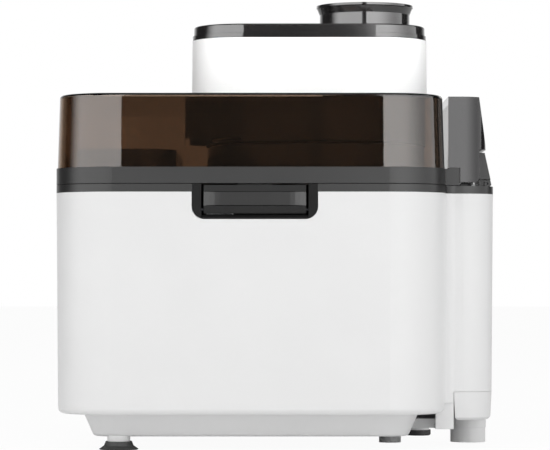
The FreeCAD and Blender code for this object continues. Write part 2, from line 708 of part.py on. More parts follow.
def make_chute():
    """White shroud on the lid, dark feed tray, feed chute, and the pusher that slides in it."""
    shroud = body("hopper_shroud")
    height = shroud_top - lid_top
    pad(shroud, "XY_Plane", lid_top, height, outline(shroud_plan(sized(0))), -0.6)
    cut(shroud, "XY_Plane", lid_top - 1, height + 5, outline(shroud_plan(wall + 0.5)))

    tray = body("feed_tray")
    rim = tray_top - shroud_top
    pad(tray, "XY_Plane", shroud_top, 4, outline(shroud_plan(sized(0.6))))
    pad(tray, "XY_Plane", shroud_top + 4, rim - 4, outline(shroud_plan(sized(1.6))), -2)
    soften(tray, 1.5, lambda e: at_height(e, tray_top.value))
    cut(tray, "XY_Plane", shroud_top + thin, 30, outline(shroud_plan(sized(5))))
    cut(tray, "XY_Plane", shroud_top - 5, 30, disc(chute_off, sized(0), chute_bore + chute_wall + 0.1))

    mouth = shroud_top + 5
    chute = (chute_off, 0, 0)
    outer = chute_bore + chute_wall
    turned("feed_chute", [
        (chute_bore, chute_z),
        (outer, chute_z + 6),
        (outer, shroud_top - 3),
        (outer + 2.5, shroud_top - 3),
        (outer + 2.5, shroud_top - 0.2),
        (outer, shroud_top - 0.2),
        (outer, mouth),
        (chute_bore, mouth),
    ], chute)
    plug = chute_bore - pusher_gap
    turned("pusher", [
        (0, chute_z + 4),
        (plug - 3, chute_z + 4),
        (plug, chute_z + 7),
        (plug, mouth + 0.4),
        (outer, mouth + 0.4),
        (outer, pusher_top - 8),
        (flange_r - 0.6, pusher_top - flange_t),
        (flange_r, pusher_top - flange_t + 0.6),
        (flange_r, pusher_top),
        (plug - 3, pusher_top),
        (plug - 3, chute_z + 8),
        (0, chute_z + 8),
    ], chute)
    cap = plug - 3.2
    turned("pusher_cap", [
        (0, pusher_top - 3.5),
        (cap, pusher_top - 3.5),
        (cap, pusher_top - 0.6),
        (cap - 8, pusher_top),
        (0, pusher_top + 0.4),
    ], chute)


# ---- latch --------------------------------------------------------------------------------------------------
def make_latch():
    """Latch bracket, the paddle in its recess, the pin it turns on, and the leaf spring behind it."""
    bracket = body("latch_bracket")
    half = bracket_w / 2
    face = [
        (latch_mid - half, bracket_z, bracket_r),
        (latch_mid + half, bracket_z, bracket_r),
        (latch_mid + half, split_z),
        (latch_mid - half, split_z),
    ]
    pad(bracket, "XZ_Plane", -front, recess_d + thin, outline(face), None, True)
    recess = box_corners(latch_mid - recess_w / 2, latch_mid + recess_w / 2, recess_z, split_z + 5)
    cut(bracket, "XZ_Plane", -front - recess_d, recess_d + 5, outline(recess), None, True)
    cut(bracket, "YZ_Plane", latch_mid - half + 2, bracket_w - 4, disc(pin_y, pin_z, latch_pin_r + 0.02), None, True)
    sill = [(front - 1, bracket_z + 0.2), (front + 3.6, recess_z + 0.5), (front - 1, recess_z + 0.5)]
    cut(bracket, "YZ_Plane", latch_mid - recess_w / 2, recess_w, outline(sill), None, True)

    paddle = body("latch_paddle")
    y0 = front - paddle_proud
    foot = recess_z + 1
    shape = [
        (y0 + 5.2, foot),
        (y0 + 9.5, foot),
        (y0 + 9.5, split_z - 1),
        (y0 + 3.6, split_z - 1),
        (y0 + 1.2, split_z - 6.4),
        (y0, split_z - 6.9),
        (y0, split_z - 17.6),
        (y0 + 1.4, split_z - 18.4),
    ]
    pad(paddle, "YZ_Plane", latch_mid - paddle_w / 2, paddle_w, outline(shape))
    bore = disc(pin_y, pin_z, latch_pin_r + 0.06)
    cut(paddle, "YZ_Plane", latch_mid - paddle_w / 2 - 5, paddle_w + 10, bore, None, True)
    for side in (-1, 1):
        end = latch_mid + side * paddle_w / 2
        bow = [
            (end + side * 1, y0 - 1),
            (end - side * 13, y0 - 1),
            (end - side * 13, y0),
            (end - side * 9, y0 + 0.1),
            (end - side * 5, y0 + 0.42),
            (end, y0 + 1.05),
            (end + side * 1, y0 + 1.2),
        ]
        cut(paddle, "XY_Plane", split_z - 18.2, 11.6, outline(bow))
    pocket = box_corners(latch_mid - paddle_w / 2 + 3, latch_mid + paddle_w / 2 - 3, foot + 7, split_z - 3.5)
    cut(paddle, "XZ_Plane", -y0 - 20, 14, outline(pocket), None, True)
    pin = (latch_mid - bracket_w / 2 + 2, pin_y, pin_z)
    kept(rod("latch_pin", latch_pin_r, bracket_w - 4, pin, ALONG_X), "latch_pin")
    leaf = block("latch_spring", (22, 0.5, 14), (latch_mid - 40, front + recess_d - 0.6, recess_z + 1))
    kept(leaf, "latch_spring")


# ---- bowl, basket and bin -----------------------------------------------------------------------------------
def make_bowl():
    """Juice bowl with its spout, the duct and outlet in the column, and the pulp bin."""
    bowl = turned("collector_bowl", [
        (14.5, bowl_z + 0.2),
        (bowl_r, bowl_z + 0.2),
        (bowl_r, bowl_top),
        (bowl_r - thin, bowl_top),
        (bowl_r - thin, bowl_z + thin),
        (17, bowl_z + thin),
        (17, basket_z - 5),
        (14.5, basket_z - 5),
    ])
    x1 = duct_x + 10.8
    y0 = spout_y - 14
    y1 = spout_y + 14
    pad(bowl, "XY_Plane", bowl_z + 0.2, shell_top - bowl_z + 2, outline(box_corners(bowl_r - 6.5, x1, y0, y1)))
    pad(bowl, "XY_Plane", bowl_z - 12, 13, disc(duct_x, spout_y, downspout_r))
    inner = box_corners(bowl_r - 12, x1 - 2, y0 + 2, y1 - 2)
    cut(bowl, "XY_Plane", bowl_z + thin, shell_top - bowl_z - 2, outline(inner))
    cut(bowl, "XY_Plane", bowl_z - 20, 30, disc(duct_x, spout_y, downspout_r - 1.8))

    duct_top = bowl_z - 4.4
    turned("juice_duct", [
        (duct_bore, block_top - 6),
        (duct_bore + duct_wall, block_top - 6),
        (duct_bore + duct_wall, duct_top),
        (duct_bore, duct_top),
    ], (duct_x, spout_y, 0))

    spout = body("juice_spout")
    drop = shell_top - block_top
    inset = drop * 0.00873
    x0 = right + 6.9
    x1 = right + column_out - inset
    r = column_r - inset
    plan = [(x0, column_y0 + inset), (x1, column_y0 + inset, r), (x1, column_y1 - inset, r), (x0, column_y1 - inset)]
    pad(spout, "XY_Plane", block_top - seam, block_top - seam - block_z, outline(plan), -3, True)
    soften(spout, 2, lambda e: at_height(e, block_z.value), "Chamfer")
    pad(spout, "XY_Plane", nozzle_z + 12.5, block_z - nozzle_z - 9, disc(duct_x, spout_y, nozzle_r + 0.5))
    pad(spout, "XY_Plane", nozzle_z, 13, disc(duct_x, spout_y, nozzle_r))
    cut(spout, "XY_Plane", nozzle_z - 1, 60, disc(duct_x, spout_y, nozzle_bore))
    cut(spout, "XY_Plane", block_top - 6.2, 20, disc(duct_x, spout_y, duct_bore + duct_wall + 0.1))
    seal = downspout_r + 0.1
    turned("duct_seal", [(seal, bowl_z - 12), (duct_bore, bowl_z - 12), (duct_bore, bowl_z - 8), (seal, bowl_z - 8)],
           (duct_x, spout_y, 0))

    bucket = body("pulp_bin")
    x1 = bin_x + bin_w
    pad(bucket, "XY_Plane", bin_z, bin_top - bin_z, outline(rounded(bin_x, x1, -bin_d / 2, bin_d / 2, sized(32))))
    soften(bucket, 8, lambda e: at_height(e, bin_z.value))
    rest = rounded(bin_x - 4, x1 + 4, -bin_d / 2 - 4, bin_d / 2 + 4, sized(36))
    pad(bucket, "XY_Plane", split_z + fit_gap, 3, outline(rest))
    hollow = rounded(bin_x + thin, x1 - thin, -bin_d / 2 + thin, bin_d / 2 - thin, sized(29.5))
    cut(bucket, "XY_Plane", bin_z + thin, 300, outline(hollow))


def make_basket():
    """Stainless filter basket with the grater disc, its knob, and the coupling that drives it."""
    rim = basket_r + basket_flare
    sieve = turned("filter_basket", [
        (8, basket_z),
        (basket_r, basket_z),
        (rim, basket_top),
        (rim + 3, basket_top),
        (rim + 3, basket_top + sheet_t),
        (rim - sheet_t / 2, basket_top + sheet_t),
        (basket_r - sheet_t / 2, basket_z + sheet_t),
        (8, basket_z + sheet_t),
    ])
    slot = cut(sieve, "XY_Plane", basket_z + 2, basket_top - basket_z - 4,
               outline(box_corners(basket_r - 2, rim + 1, sized(-0.4), sized(0.4))))
    spread(sieve, slot, 48)
    disc_z = basket_z + sheet_t + 0.1
    grater = body("grater_disc", (0, 0, 0))
    pad(grater, "XY_Plane", disc_z, 1, disc(sized(0), sized(0), basket_r - 6))
    for share, count in ((0.3, 14), (0.515, 22), (0.73, 30)):
        near = basket_r * share
        tooth = pad(grater, "XY_Plane", disc_z + 0.5, 3.2, outline([(near, -1.6), (near + 5, 0), (near, 1.6)]))
        spread(grater, tooth, count)
    cut(grater, "XY_Plane", disc_z - 2, 10, disc(sized(0), sized(0), sized(8)))
    turned("basket_knob", [
        (0, disc_z + 1.1),
        (13, disc_z + 1.1),
        (15, disc_z + 4),
        (12, disc_z + 13),
        (8, disc_z + 17),
        (0, disc_z + 18),
    ])
    hub = turned("drive_coupling", [
        (shaft_r + 0.02, basket_z - 16),
        (11, basket_z - 16),
        (11, basket_z - 6),
        (7.8, basket_z - 2),
        (7.8, disc_z + 1),
        (shaft_r + 0.02, disc_z + 1),
    ])
    lug = pad(hub, "XY_Plane", basket_z - 16, 8, outline(box_corners(sized(9), sized(12.6), sized(-1.5), sized(1.5))))
    spread(hub, lug, 3)


# ---- motor --------------------------------------------------------------------------------------------------
def make_motor():
    """Universal motor on the spindle axis, hung on rubber mounts under the bowl well."""
    centre = (0, 0, 0)
    stack_top = stator_z + stator_h
    kept(rod("motor_shaft", shaft_r, basket_z - 52, (0, 0, 52)), "motor_shaft")
    core_r = 24
    core = turned("armature_core", [
        (shaft_r + 0.02, stator_z), (core_r, stator_z), (core_r, stack_top), (shaft_r + 0.02, stack_top),
    ])
    groove = cut(core, "XY_Plane", stator_z - 1, stator_h + 2, outline(box_corners(18, 25, -1.1, 1.1)))
    spread(core, groove, 18)
    ends = []
    for number, (z0, z1) in enumerate(((stator_z - 13, stator_z - 0.2), (stack_top + 0.2, stack_top + 13))):
        ends.append(turned(f"winding_end_{number}", [(8, z0), (20, z0), (22, z1), (8, z1)], centre, None, False))
    group("armature_windings", ends)
    commutator = turned("commutator", [(shaft_r + 0.02, 66), (12, 66), (12, 84), (shaft_r + 0.02, 84)])
    bar = cut(commutator, "XY_Plane", sized(64), 22, outline(box_corners(11, 13, -0.25, 0.25)))
    spread(commutator, bar, 24)
    fan = turned("cooling_fan", [(shaft_r + 0.02, 162), (12, 162), (12, 164), (31, 164), (31, 165.6), (9, 165.6),
                                 (9, 171), (shaft_r + 0.02, 171)])
    blade = pad(fan, "XY_Plane", sized(165), 6, outline(box_corners(sized(10), sized(31), sized(-0.8), sized(0.8))))
    spread(fan, blade, 14)

    half = stator_w / 2
    stator = body("stator_core")
    pad(stator, "XY_Plane", stator_z, stator_h, outline(rounded(-half, half, -half, half, sized(8))))
    cut(stator, "XY_Plane", stator_z - 1, stator_h + 2, disc(sized(0), sized(0), sized(core_r + 0.6)))
    for side in (-1, 1):
        low, high = sorted((side * 14, side * 34))
        cut(stator, "XY_Plane", stator_z - 1, stator_h + 2, outline(box_corners(-30, 30, low, high)))
    coils = []
    for side in (-1, 1):
        y0 = 25.5 if side > 0 else -33.5
        outer = block(f"coil_out_{y0}", (56, 8, stator_h + 24), (-28, y0, stator_z - 12))
        inner = block(f"coil_in_{y0}", (36, 10, stator_h + 8), (-18, y0 - 1, stator_z - 4))
        coils.append(less(f"coil_{y0}", outer, inner))
    group("field_windings", coils)

    upper = body("upper_end_bracket")
    pad(upper, "XY_Plane", sized(173), 4, disc(sized(0), sized(0), sized(56)))
    pad(upper, "XY_Plane", sized(173), 9, disc(sized(0), sized(0), sized(15)))
    cut(upper, "XY_Plane", sized(170), 20, disc(sized(0), sized(0), sized(11.02)))
    for side in (-1, 1):
        post = box_corners(side * half - 5, side * half + 5, -12, 12)
        pad(upper, "XY_Plane", stack_top + 0.2, 173 - stack_top, outline(post))
    lower = body("lower_end_bracket")
    pad(lower, "XY_Plane", sized(52), 4, outline(box_corners(-half - 5, half + 5, -13, 13)))
    pad(lower, "XY_Plane", sized(52), 9, disc(sized(0), sized(0), sized(15)))
    cut(lower, "XY_Plane", sized(50), 20, disc(sized(0), sized(0), sized(11.02)))
    for side in (-1, 1):
        post = box_corners(side * half - 5, side * half + 5, -12, 12)
        pad(lower, "XY_Plane", sized(52), stator_z - 52.2, outline(post))
    bearings = [tube(f"bearing_{z}", 11, shaft_r + 0.03, 7, (0, 0, z)) for z in (53, 174)]
    group("ball_bearings", bearings)
    holders = []
    brushes = []
    for side in (-1, 1):
        x = 14 if side > 0 else -34
        outer = block(f"holder_out_{x}", (20, 12, 12), (x, -6, 69))
        inner = block(f"holder_in_{x}", (22, 8.4, 8.4), (x - 1, -4.2, 70.8))
        holders.append(less(f"holder_{x}", outer, inner))
        brushes.append(block(f"brush_{x}", (16, 8, 8), (12.4 if side > 0 else -28.4, -4, 71)))
    group("brush_holders", holders)
    group("carbon_brushes", brushes)
    mounts = []
    screws = []
    for x, y in ((-34, -34), (34, -34), (-34, 34), (34, 34)):
        spot = (x, y, 177.2)
        mounts.append(tube(f"mount_{x}_{y}", 7, 2.3, 8.6, spot))
        screws.append(rod(f"screw_{x}_{y}", 2.2, 8.6, spot))
    group("motor_mounts", mounts)
    group("motor_screws", screws)
    kept(tube("shaft_seal", 13.6, shaft_r + 0.3, 4, (0, 0, bowl_z + 3)), "shaft_seal")


# ---- electrics and small parts ------------------------------------------------------------------------------
def make_small():
    """Feet, hinge pins, power switch, lid interlock, mains inlet and control board."""
    cups = []
    for number, y in enumerate((-foot_y, foot_y)):
        cups.append(turned(f"cup_{number}", [
            (0, 2.4), (cup_r - 5, 2), (cup_r - 0.8, 0), (cup_r, 0.6), (cup_r - 4, 3.4), (stem_r + 1.4, cup_h),
            (stem_r, cup_h), (stem_r, cup_h - 2), (0, cup_h - 2),
        ], (mid - foot_x, y, 0), None, False))
    group("suction_cups", cups)
    turned("rear_foot_pad", [
        (0, 0), (rear_foot_r - 1, 0), (rear_foot_r, 1), (rear_foot_r, pad_h + 0.5), (rear_foot_r - 1.5, pad_h + 0.5),
        (rear_foot_r - 1.5, pad_h - 1), (0, pad_h - 1),
    ], (rear_foot_x, rear_foot_y, 0))
    pins = []
    for side in (-1, 1):
        spot = (mid + hinge_x * side - 20, rear + hinge_y, split_z)
        pins.append(rod(f"hinge_pin_{side}", hinge_pin_r, 40, spot, ALONG_X))
    group("hinge_pins", pins)

    paddle = body("switch_paddle")
    x = right + 31
    z = split_z + fit_gap
    shape = [(x, z), (x + 9, z), (x + 10.7, z + 1.6), (x + 4.7, band_top + 15.4), (x, band_top + 15.4)]
    pad(paddle, "XZ_Plane", -switch_y - 6, switch_w, outline(shape), None, False)
    pivot = disc(x + 7, z + 2.6, switch_pin_r + 0.05)
    cut(paddle, "XZ_Plane", -switch_y - 16, switch_w + 30, pivot, None, True)
    for y in (switch_y + 6, switch_y + 6 - switch_w + 3.5):
        ear_gap = box_corners(x - 1, x + 12, y - 3.5, y)
        cut(paddle, "XY_Plane", split_z, 6.6, outline(ear_gap))
    pin = rod("switch_pin", switch_pin_r, switch_w - 2.5, (x + 7, switch_y + 5.2, z + 2.6), AGAINST_Y)
    kept(pin, "switch_pin")
    pad(paddle, "XY_Plane", shell_top - 7, split_z - shell_top + 8,
        outline(box_corners(right + 32.5, right + 34.5, switch_y - 4, switch_y + 4)))
    kept(block("switch_body", (20, 24, 20), (right + 9, switch_y - 4, shell_top - 27)), "switch_body")

    spot = (plunger_x, plunger_y, 0)
    turned("interlock_plunger", [
        (0, shell_top - 16), (plunger_r, shell_top - 16), (plunger_r, shell_top - 8), (4, shell_top - 8),
        (4, shell_top - 6.5), (plunger_r, shell_top - 6.5), (plunger_r, split_z + 2.6), (0, split_z + 2.6),
    ], spot)
    kept(tube("plunger_spring", 4, 2.8, 5, (spot[0], spot[1], shell_top - 13.3)), "plunger_spring")
    kept(block("interlock_switch", (20, 10, 12), (right + 12, plunger_y - 5, shell_top - 30)), "interlock_switch")

    inlet = body("mains_inlet")
    x = left + 60
    pad(inlet, "XZ_Plane", -rear + 22, 21.5, outline(rounded(x, x + 29, sized(62), sized(86), sized(3))), None, True)
    pad(inlet, "XZ_Plane", -rear + 1, 1.8, outline(rounded(x - 3, x + 32, sized(59), sized(89), sized(4))), None, True)
    cut(inlet, "XZ_Plane", -rear - 3, 18, outline(rounded(x + 3, x + 26, sized(66), sized(82), sized(3))), None, True)
    blades = []
    for number, (dx, z) in enumerate(((7.5, 72), (14.5, 75), (21.5, 72))):
        blades.append(block(f"blade_{number}", (2, 12, 4), (x + dx - 1, rear - 15, z)))
    group("inlet_pins", blades)
    kept(block("control_board", (60, 1.6, 40), (-30, -98, 46)), "control_board")
    kept(rod("capacitor", 8, 22, (-12, -88, 62), ALONG_X), "capacitor")
    screws = []
    for x, y in base_screw_spots:
        head = rod(f"head_{x}_{y}", 4, 2, (x, y, plinth_z + 0.2))
        stem = rod(f"thread_{x}_{y}", base_screw_r, 12, (x, y, plinth_z + 2.2))
        screws.append(joined(f"base_screw_{x}_{y}", [head, stem]))
    group("base_screws", screws)


for make in (make_shell, make_plinth, make_deck, make_lid, make_chute, make_latch, make_bowl, make_basket,
             make_motor, make_small):
    make()

# ---- check and write ----------------------------------------------------------------------------------------
doc.recompute()
faults = []
for item in doc.Objects:
    if "Invalid" in item.State or "Error" in item.State:
        faults.append(f"{item.Name}: {item.getStatusString()}")
for piece in pieces:
    if piece.Shape.isNull() or not piece.Shape.isValid():
        faults.append(f"{piece.Label}: bad shape")
if faults:
    raise RuntimeError("\n".join(faults))
os.makedirs("parts", exist_ok=True)
for piece in pieces:
    piece.Shape.exportStep(f"parts/{piece.Label}.step")
print(len(pieces), "sub-parts written")
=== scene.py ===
"""A boxy centrifugal juicer: moulded white body, smoked lid, dark rim, chute with pusher, juice column on the right.

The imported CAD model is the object. This script gives each of its nodes the material of the real piece, adds the small
details that moulding and printing leave, and lights it as a studio product shot.
"""

import math

import bmesh
import bpy
import numpy as np
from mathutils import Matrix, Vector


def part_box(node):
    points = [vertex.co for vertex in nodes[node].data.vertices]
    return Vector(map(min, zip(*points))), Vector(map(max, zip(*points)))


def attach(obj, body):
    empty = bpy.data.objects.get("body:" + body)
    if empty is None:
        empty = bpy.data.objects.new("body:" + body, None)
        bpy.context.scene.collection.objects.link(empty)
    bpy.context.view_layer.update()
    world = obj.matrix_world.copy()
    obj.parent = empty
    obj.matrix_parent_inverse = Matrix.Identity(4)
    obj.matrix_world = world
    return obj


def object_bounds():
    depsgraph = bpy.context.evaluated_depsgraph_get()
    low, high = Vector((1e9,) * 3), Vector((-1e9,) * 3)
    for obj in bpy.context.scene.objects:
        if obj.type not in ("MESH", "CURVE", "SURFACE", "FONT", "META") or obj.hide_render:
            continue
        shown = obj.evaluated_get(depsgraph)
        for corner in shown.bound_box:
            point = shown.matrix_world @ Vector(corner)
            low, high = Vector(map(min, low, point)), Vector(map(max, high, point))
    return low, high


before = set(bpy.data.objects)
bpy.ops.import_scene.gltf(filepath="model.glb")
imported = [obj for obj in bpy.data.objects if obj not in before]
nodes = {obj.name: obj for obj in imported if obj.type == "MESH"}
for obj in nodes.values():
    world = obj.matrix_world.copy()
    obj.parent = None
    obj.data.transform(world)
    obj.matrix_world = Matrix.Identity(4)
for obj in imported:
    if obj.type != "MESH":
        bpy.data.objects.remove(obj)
size_at_start = [list(corner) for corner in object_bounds()]


# ---- materials ----------------------------------------------------------------------------------------------
def linear(hex_code, alpha=1.0):
    """An sRGB hex colour as linear RGBA."""
    parts = [int(hex_code[n:n + 2], 16) / 255 for n in (0, 2, 4)]
    return [c / 12.92 if c <= 0.04045 else ((c + 0.055) / 1.055) ** 2.4 for c in parts] + [alpha]


class Shader:
    """A node material with its own little graph."""

    def __init__(self, name, holders=None, output="ShaderNodeOutputMaterial"):
        holders = bpy.data.materials if holders is None else holders
        self.material = holders.new(name)
        self.material.use_nodes = True
        self.tree = self.material.node_tree
        self.tree.nodes.clear()
        self.out = self.add(output)

    def add(self, kind, links=None, values=None, **settings):
        """Adds a node, sets its properties and socket values, and links sockets to other nodes' outputs."""
        made = self.tree.nodes.new(kind)
        for key, value in settings.items():
            setattr(made, key, value)
        for key, value in (values or {}).items():
            made.inputs[key].default_value = value
        for key, source in (links or {}).items():
            output = source if isinstance(source, bpy.types.NodeSocket) else source.outputs[0]
            self.tree.links.new(output, made.inputs[key])
        return made

    def surface(self, shader):
        """Connects the finished shader to the output."""
        self.tree.links.new(shader.outputs[0], self.out.inputs["Surface"])
        return self.material

    def grain(self, size_mm, detail=2.0, roughness=0.5, stretch=(1, 1, 1)):
        """Noise whose lumps are size_mm across, in object coordinates."""
        place = self.add("ShaderNodeTexCoord")
        scale = [1000 / size_mm * part for part in stretch]
        turned = self.add("ShaderNodeMapping", {"Vector": place.outputs["Object"]}, {"Scale": scale})
        return self.add("ShaderNodeTexNoise", {"Vector": turned},
                        {"Scale": 1.0, "Detail": detail, "Roughness": roughness})

    def bump(self, height, depth_mm, edge_mm=0.0):
        """Bump from a 0 to 1 height, depth_mm deep, over edges that look rounded to edge_mm."""
        links = {"Height": height}
        if edge_mm:
            links["Normal"] = self.add("ShaderNodeBevel", None, {"Radius": edge_mm / 1000}, samples=4)
        return self.add("ShaderNodeBump", links, {"Strength": 1.0, "Distance": depth_mm / 1000})

    def seen_directly(self):
        """1 for rays from the camera, straight or through something clear, and 0 for the rest."""
        path = self.add("ShaderNodeLightPath")
        links = {0: path.outputs["Is Camera Ray"], 1: path.outputs["Is Transmission Ray"]}
        return self.add("ShaderNodeMath", links, operation="MAXIMUM")

    def between(self, factor, low, high):
        """A 0 to 1 value turned to the range low to high."""
        return self.add("ShaderNodeMapRange", {"Value": factor}, {"To Min": low, "To Max": high})

    def tint(self, factor, first, second):
        """Two hex colours mixed by a factor."""
        ramp = self.add("ShaderNodeValToRGB", {"Fac": factor})
        ramp.color_ramp.elements[0].color = linear(first)
        ramp.color_ramp.elements[1].color = linear(second)
        ramp.color_ramp.elements[0].position = 0.3
        ramp.color_ramp.elements[1].position = 0.7
        return ramp


def moulded(name, first, second, rough, texture_mm=0.9, depth_mm=0.002, coat=0.0, edge_mm=0.5, shine=0.5):
    """Injection-moulded plastic: nearly even colour, slight flow clouding, fine tool grain, edges a little round."""
    s = Shader(name)
    cloud = s.grain(60, 2.0)
    colour = s.tint(cloud, first, second)
    fine = s.grain(texture_mm, 3.0, 0.6)
    gloss = s.between(s.grain(18, 3.0), rough - 0.015, rough + 0.015)
    links = {"Base Color": colour, "Roughness": gloss, "Normal": s.bump(fine, depth_mm, edge_mm)}
    values = {"IOR": 1.5, "Specular IOR Level": shine, "Coat Weight": coat, "Coat Roughness": 0.08}
    return s.surface(s.add("ShaderNodeBsdfPrincipled", links, values))


def smoked(name, wall_hex, rough=0.02, haze=0.0, mirror=0.5):
    """Smoked clear polycarbonate: polished, tinted at each face, and light passes it to what lies under it."""
    s = Shader(name)
    gloss = s.between(s.grain(30, 2.0), rough, rough + 0.02)
    glass = s.add("ShaderNodeBsdfPrincipled", {"Roughness": gloss},
                  {"Base Color": linear(wall_hex), "Transmission Weight": 1.0 - haze, "IOR": 1.49,
                   "Specular IOR Level": mirror})
    clear = s.add("ShaderNodeBsdfTransparent", None, {"Color": linear(wall_hex)})
    path = s.add("ShaderNodeLightPath")
    return s.surface(s.add("ShaderNodeMixShader",
                           {0: path.outputs["Is Shadow Ray"], 1: glass, 2: clear}))


def metal(name, hex_code, rough, stretch=(1, 1, 1), scratch_mm=0.4, depth_mm=0.004):
    """Bare metal with fine tool lines along one direction, which spread its highlight."""
    s = Shader(name)
    lines = s.grain(scratch_mm, 4.0, 0.6, stretch)
    links = {"Roughness": s.between(lines, rough - 0.07, rough + 0.1), "Normal": s.bump(lines, depth_mm)}
    values = {"Metallic": 1.0, "Base Color": linear(hex_code)}
    return s.surface(s.add("ShaderNodeBsdfPrincipled", links, values))


def perforated(name):
    """Photo-etched stainless sieve: rows of dark holes 1.6 mm apart, drawn coarser than the real 0.5 mm."""
    s = Shader(name)
    place = s.add("ShaderNodeTexCoord")
    cells = s.add("ShaderNodeTexVoronoi", {"Vector": place.outputs["Object"]}, {"Scale": 620.0, "Randomness": 0.0})
    hole = s.add("ShaderNodeMath", {0: cells.outputs["Distance"]}, {1: 0.34}, operation="GREATER_THAN")
    colour = s.add("ShaderNodeMix", {0: hole, 6: s.tint(hole, "1c1c1c", "b9babb")}, {7: linear("b9babb")},
                   data_type="RGBA")
    links = {"Base Color": colour.outputs[2], "Normal": s.bump(hole, 0.1)}
    return s.surface(s.add("ShaderNodeBsdfPrincipled", links, {"Metallic": 1.0, "Roughness": 0.3}))


# White ABS, spark-eroded tool: a soft sheen, no sharp reflection.
white = moulded("white_abs_moulded", "ececec", "eaeaea", 0.4, shine=0.4)
# The same white in the small mouldings, a little glossier from a polished tool, and painted lighter than the body:
# painted light on the hopper, which stands higher in the lamps.
white_gloss_painted_light = moulded("white_abs_polished_painted_light", "f5f5f5", "f4f4f4", 0.36, 0.9, 0.001, shine=0.4)
# Dark grey ABS, fine texture: reads as satin charcoal.
charcoal = moulded("charcoal_abs_textured", "282828", "2b2b2b", 0.3, 0.9, 0.004, shine=0.28)
# The same grey ABS without a sheen, for the latch's inner bracket, painted darker than the rim: painted shade for the
# recess under the latch's lip.
charcoal_painted_shade = moulded("charcoal_abs_painted_shade", "171717", "1a1a1a", 0.55, 0.9, 0.002, shine=0.1)
# Latch and switch, the same grey from a smoother tool.
charcoal_smooth = moulded("charcoal_abs_smooth", "252525", "272727", 0.24, 0.9, 0.002, shine=0.3)
# Gloss black SAN: mirror highlights on near black.
gloss_black = moulded("black_san_polished", "1d1c1c", "222121", 0.07, 0.5, 0.0, 0.6)
# Smoked polycarbonate lid: brown when white shows through, black before dark parts.
lid_clear = smoked("smoked_polycarbonate", "84705f", 0.0)
# The same material on the side cover, greyer and nearly opaque.
pod_clear = smoked("smoked_polycarbonate_pod", "262426", 0.04, 0.8, 0.3)
# Dark translucent SAN of the bowl, bin and chamber cover.
inner_dark = moulded("dark_san_moulded", "0f0e0e", "121111", 0.22, 0.5, 0.002)
# Seals, cups and mounts: matt near-black, no highlight.
black_rubber = moulded("black_rubber_moulded", "262626", "2e2e2e", 0.62, 0.8, 0.02)
# Inner mouldings: plain mid grey.
grey_part = moulded("grey_nylon_moulded", "7a7c7e", "808284", 0.45)
# Interlock plunger: light grey, slightly waxy.
pin_grey = moulded("light_grey_acetal", "b9bbbc", "c2c3c4", 0.35)
# Circuit board lacquer: dark green with a gloss.
board_green = moulded("board_solder_mask", "1d5a34", "24663c", 0.3, 1.2, 0.03)
# Brushes: dull black blocks.
carbon = moulded("carbon_graphite_pressed", "1a1a1a", "262626", 0.6, 0.3, 0.02)
# Ground steel: bright, with lines along its length.
steel = metal("ground_steel", "b5b6b8", 0.28, (1, 1, 12))
# Blackened steel: dark grey with a dull shine.
dark_steel = metal("blackened_steel", "2c2c2e", 0.45)
# Brushed stainless: bright, with a stretched highlight.
stainless = metal("brushed_stainless", "c2c3c4", 0.26, (1, 1, 6))
# Etched stainless: bright sheet under rows of dark holes.
sieve = perforated("etched_stainless_sieve")
# Stacked laminations: dark grey, finely ribbed.
iron = metal("varnished_laminations", "5c5d60", 0.45, (1, 1, 30), 0.5, 0.05)
# Enamelled wire: warm copper in fine turns.
copper = metal("enamelled_copper_wire", "b4693c", 0.32, (1, 1, 14), 0.5, 0.08)
# Die-cast aluminium: pale grey, grainy.
cast = metal("die_cast_aluminium", "a5a7aa", 0.5, (1, 1, 1), 0.9, 0.03)
# Stamped brass: plain yellow metal.
brass = metal("stamped_brass", "c9a758", 0.3)
# Pad print on the switch: flat white.
print_white = moulded("white_pad_print", "dedede", "d6d6d6", 0.5, 0.3, 0.002, edge_mm=0.0)

FINISH = {
    "housing_shell": white, "base_plinth": white, "juice_spout": white, "hopper_shroud": white_gloss_painted_light,
    "deck_frame": charcoal, "latch_bracket": charcoal_painted_shade, "lid_frame": charcoal,
    "latch_paddle": charcoal_smooth, "switch_paddle": charcoal, "latch_pin": dark_steel, "switch_pin": dark_steel,
    "pulp_bin": inner_dark, "collector_bowl": inner_dark, "chamber_cover": inner_dark, "feed_chute": inner_dark,
    "lid_shell": lid_clear, "lid_pod": pod_clear,
    "feed_tray": gloss_black, "pusher": gloss_black, "pusher_cap": gloss_black,
    "lid_seal": black_rubber, "duct_seal": black_rubber, "shaft_seal": black_rubber,
    "suction_cups": black_rubber, "rear_foot_pad": black_rubber, "motor_mounts": black_rubber,
    "filter_basket": sieve, "grater_disc": stainless, "basket_knob": charcoal, "drive_coupling": grey_part,
    "motor_shaft": steel, "ball_bearings": steel, "hinge_pins": steel, "latch_spring": steel,
    "plunger_spring": steel, "base_screws": steel, "motor_screws": steel,
    "armature_core": iron, "stator_core": iron, "armature_windings": copper, "field_windings": copper,
    "commutator": copper, "cooling_fan": grey_part, "upper_end_bracket": cast, "lower_end_bracket": cast,
    "brush_holders": brass, "carbon_brushes": carbon, "control_board": board_green, "capacitor": charcoal_smooth,
    "switch_body": charcoal_smooth, "interlock_switch": charcoal_smooth, "interlock_plunger": pin_grey,
    "mains_inlet": charcoal_smooth, "inlet_pins": brass, "juice_duct": grey_part,
}
for name, thing in nodes.items():
    for place in thing.material_slots:
        place.material = FINISH[name]

# ---- studio -------------------------------------------------------------------------------------------------
scene = bpy.context.scene
low, high = size_at_start
centre_y = (low[1] + high[1]) / 2
PANEL_RADIUS = 2.5
PANEL_TOP = 2.2
PANEL_LIT = 1.0
SWEEP_WHITE_SHARE = 0.95
ROOM_LIGHT = 0.43


